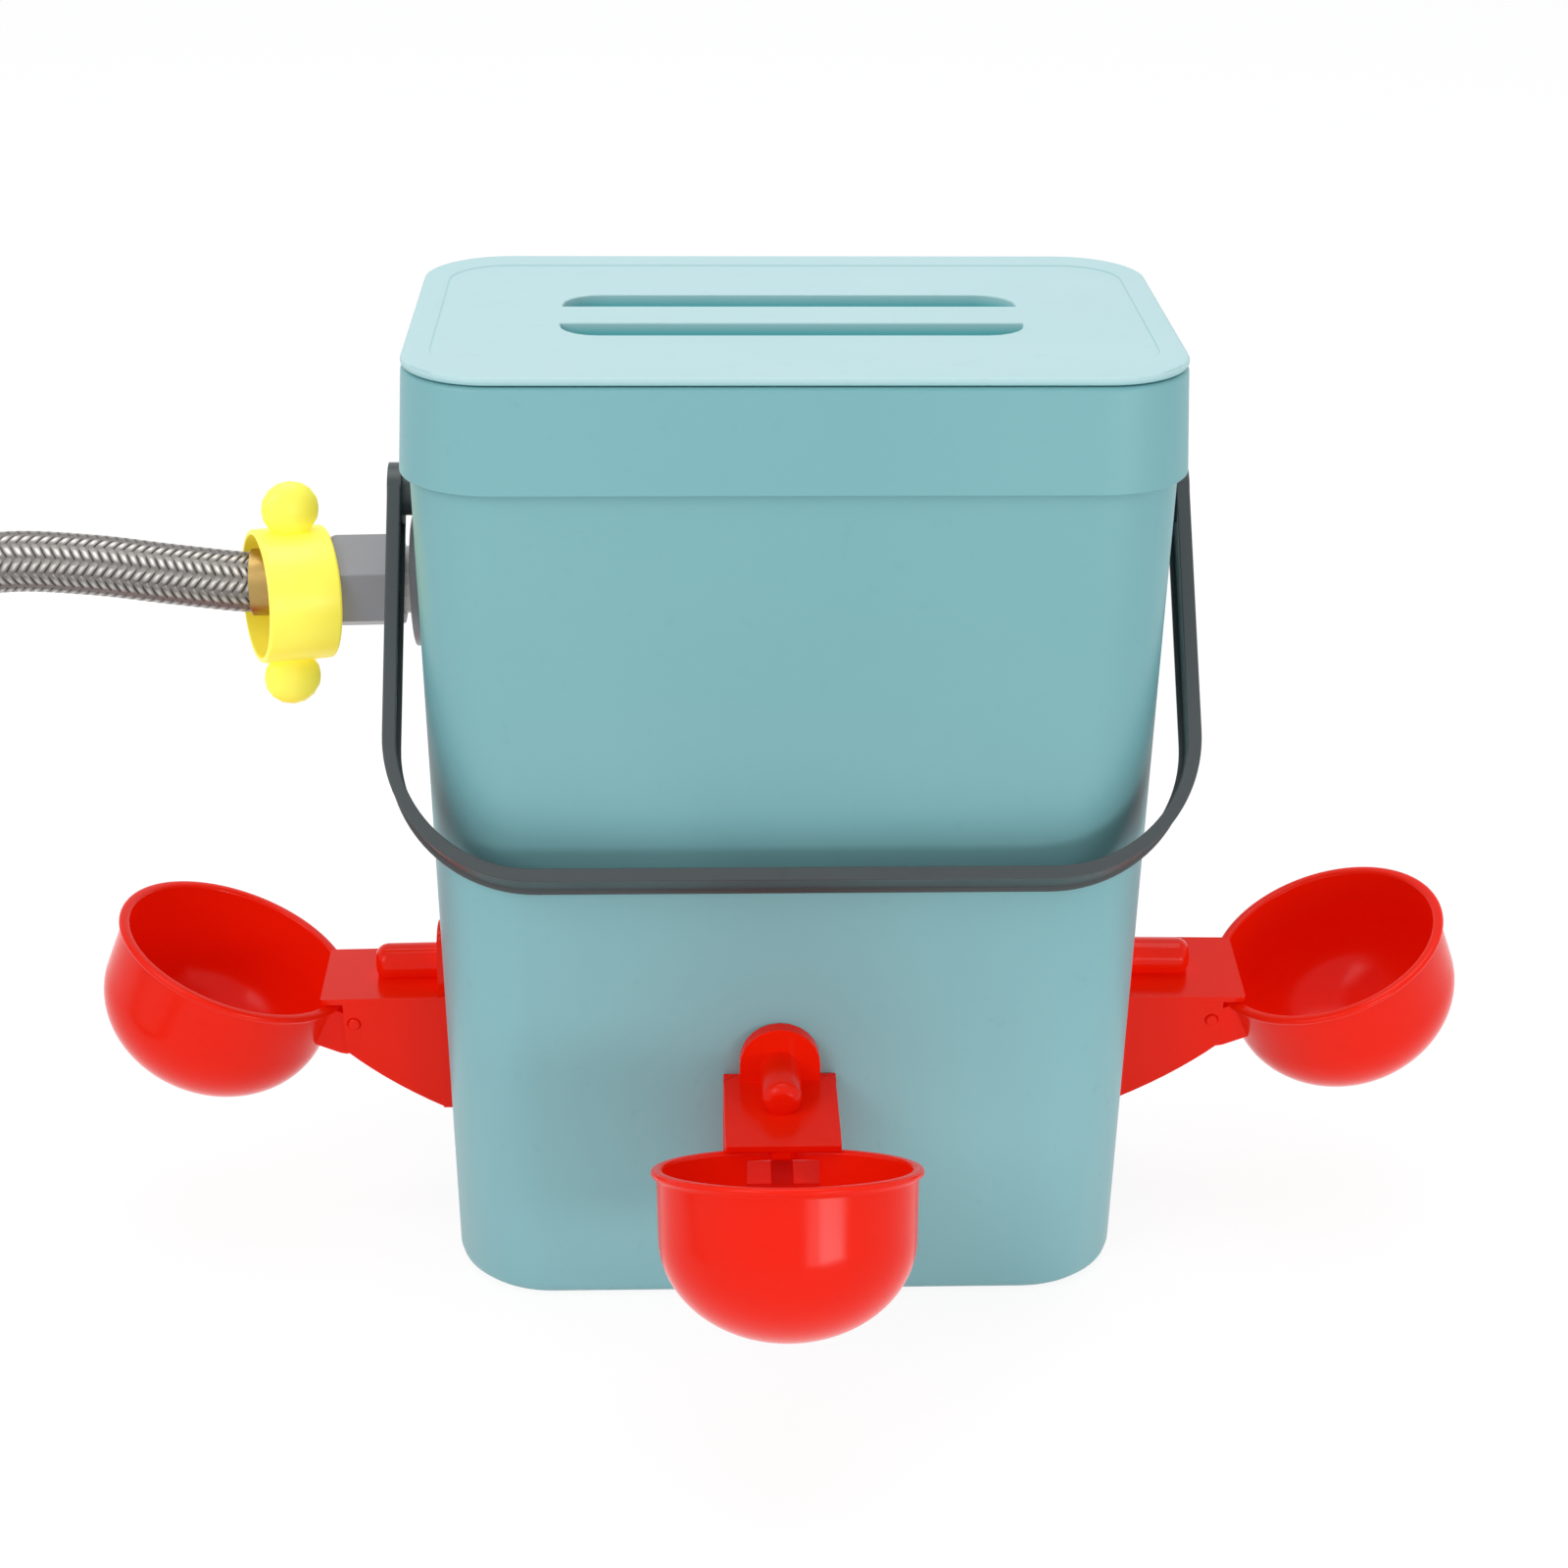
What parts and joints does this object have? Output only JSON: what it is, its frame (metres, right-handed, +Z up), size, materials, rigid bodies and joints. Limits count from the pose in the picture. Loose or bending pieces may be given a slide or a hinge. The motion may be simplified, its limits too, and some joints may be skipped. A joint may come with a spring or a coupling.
{
  "type": "poultry drinker",
  "caption": "Lidded pail with a carrying bail, spring-tilted drinking cups on its walls, and a float-valve inlet fed by a braided hose.",
  "frame": {"origin": "centre of the pail's underside", "axes": "+Z up, -Y towards the front drinker, +X along the pail's long side towards the right drinker"},
  "size_m": [0.5339, 0.3025, 0.2711],
  "materials": {
    "pail_blue": "satin moulded polypropylene",
    "lid_blue": "satin moulded polypropylene",
    "drinker_red": "smooth moulded plastic",
    "wing_yellow": "smooth moulded plastic",
    "handle_grey": "satin moulded plastic",
    "black_rubber": "matt rubber",
    "nut_grey": "satin moulded plastic",
    "valve_white": "satin moulded plastic",
    "spring_steel": "drawn stainless steel",
    "ferrule_brass": "dull brass",
    "hose_braid": "woven stainless wire over a rubber tube"
  },
  "bodies": {
    "pail": {"bucket_body": "pail_blue", "rim_collar": "pail_blue", "bracket_left": "drinker_red", "hinge_pin_left": "drinker_red", "valve_spring_left": "spring_steel", "stem_gasket_left": "black_rubber", "stem_nut_left": "drinker_red", "bracket_front": "drinker_red", "hinge_pin_front": "drinker_red", "valve_spring_front": "spring_steel", "stem_gasket_front": "black_rubber", "stem_nut_front": "drinker_red", "bracket_right": "drinker_red", "hinge_pin_right": "drinker_red", "valve_spring_right": "spring_steel", "stem_gasket_right": "black_rubber", "stem_nut_right": "drinker_red", "float_valve_body": "valve_white", "float_lever_pin": "spring_steel", "inlet_gasket": "black_rubber", "inlet_inner_gasket": "black_rubber", "inlet_flange_nut": "nut_grey", "hose_nut": "nut_grey", "hose_washer": "black_rubber", "hose_ferrule": "ferrule_brass", "feed_hose": "hose_braid", "wing_grip": "wing_yellow", "far_nut": "nut_grey", "far_ferrule": "ferrule_brass", "far_washer": "black_rubber"},
    "lid": {"lid": "lid_blue"},
    "carrying_handle": {"handle": "handle_grey", "handle_cap_left": "handle_grey", "handle_cap_right": "handle_grey"},
    "float_arm": {"float_lever": "valve_white", "float": "valve_white"},
    "inlet_piston": {"float_piston": "black_rubber"},
    "cup_left": {"cup_left": "drinker_red"},
    "valve_left": {"valve_rod_left": "nut_grey", "valve_seal_left": "black_rubber"},
    "cup_front": {"cup_front": "drinker_red"},
    "valve_front": {"valve_rod_front": "nut_grey", "valve_seal_front": "black_rubber"},
    "cup_right": {"cup_right": "drinker_red"},
    "valve_right": {"valve_rod_right": "nut_grey", "valve_seal_right": "black_rubber"}
  },
  "joints": [
    {"name": "lid_lift", "type": "slide", "parent": "pail", "child": "lid", "axis": [0, 0, 1], "range_m": [0, 0.05]},
    {"name": "handle_swing", "type": "hinge", "parent": "pail", "child": "carrying_handle", "pos_m": [0, 0, 0.221], "axis": [-1, 0, 0], "range_deg": [0, 250]},
    {"name": "float_swing", "type": "hinge", "parent": "pail", "child": "float_arm", "pos_m": [-0.06213, 0.008, 0.18702], "axis": [0, -1, 0], "range_deg": [0, 36]},
    {"name": "piston_slide", "type": "slide", "parent": "pail", "child": "inlet_piston", "axis": [-0.9999, 0, -0.0173], "range_m": [0, 0.004]},
    {"name": "cup_tilt_left", "type": "hinge", "parent": "pail", "child": "cup_left", "pos_m": [-0.12444, 0.00021, 0.06581], "axis": [0.0003, -0.9998, -0.0174], "range_deg": [0, 24], "stiffness_Nm_per_rad": 0.05, "springref_deg": -16.04},
    {"name": "valve_lift_left", "type": "slide", "parent": "pail", "child": "valve_left", "axis": [-0.0173, -0.0175, 0.9997], "range_m": [0, 0.0046], "deforming": ["valve_spring_left"]},
    {"name": "cup_tilt_front", "type": "hinge", "parent": "pail", "child": "cup_front", "pos_m": [-0.0032, -0.08672, 0.06441], "axis": [1, 0, 0], "range_deg": [0, 24], "stiffness_Nm_per_rad": 0.05, "springref_deg": -16.04},
    {"name": "valve_lift_front", "type": "slide", "parent": "pail", "child": "valve_front", "axis": [0, -0.0173, 0.9999], "range_m": [0, 0.0046], "deforming": ["valve_spring_front"]},
    {"name": "cup_tilt_right", "type": "hinge", "parent": "pail", "child": "cup_right", "pos_m": [0.12444, 0.00157, 0.06591], "axis": [0.0023, 0.9914, 0.1305], "range_deg": [0, 24], "stiffness_Nm_per_rad": 0.05, "springref_deg": -16.04},
    {"name": "valve_lift_right", "type": "slide", "parent": "pail", "child": "valve_right", "axis": [0.0171, -0.1305, 0.9913], "range_m": [0, 0.0046], "deforming": ["valve_spring_right"]}
  ],
  "couplings": [
    {"joint": "piston_slide", "follows": "float_swing", "m_per_rad": 0.0063052},
    {"joint": "valve_lift_left", "follows": "cup_tilt_left", "m_per_rad": 0.010754},
    {"joint": "valve_lift_front", "follows": "cup_tilt_front", "m_per_rad": 0.010754},
    {"joint": "valve_lift_right", "follows": "cup_tilt_right", "m_per_rad": 0.010754}
  ]
}
